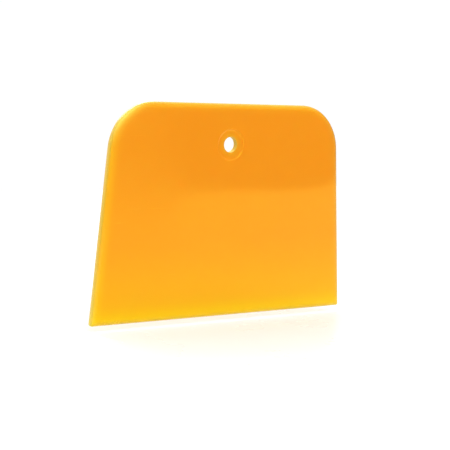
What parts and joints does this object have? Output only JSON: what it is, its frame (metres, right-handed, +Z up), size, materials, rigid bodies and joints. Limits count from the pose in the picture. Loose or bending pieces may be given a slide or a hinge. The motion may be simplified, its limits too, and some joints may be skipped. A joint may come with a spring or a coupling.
{
  "type": "squeegee applicator",
  "caption": "Flat moulded plastic hand blade with a straight working edge, leaning sides, large rounded shoulders and a dished hang hole, for smoothing vinyl film.",
  "frame": {"origin": "on the hang hole's axis at mid-thickness, where a peg holds the blade up", "axes": "+X along the working edge, +Y through the thickness from the front face to the back face, +Z up from the working edge to the hang hole"},
  "size_m": [0.127, 0.0032, 0.089],
  "materials": {
    "amber_plastic": "polished, slightly translucent yellow-orange moulded plastic"
  },
  "bodies": {
    "root": {"squeegee_blade": "amber_plastic"}
  },
  "joints": []
}
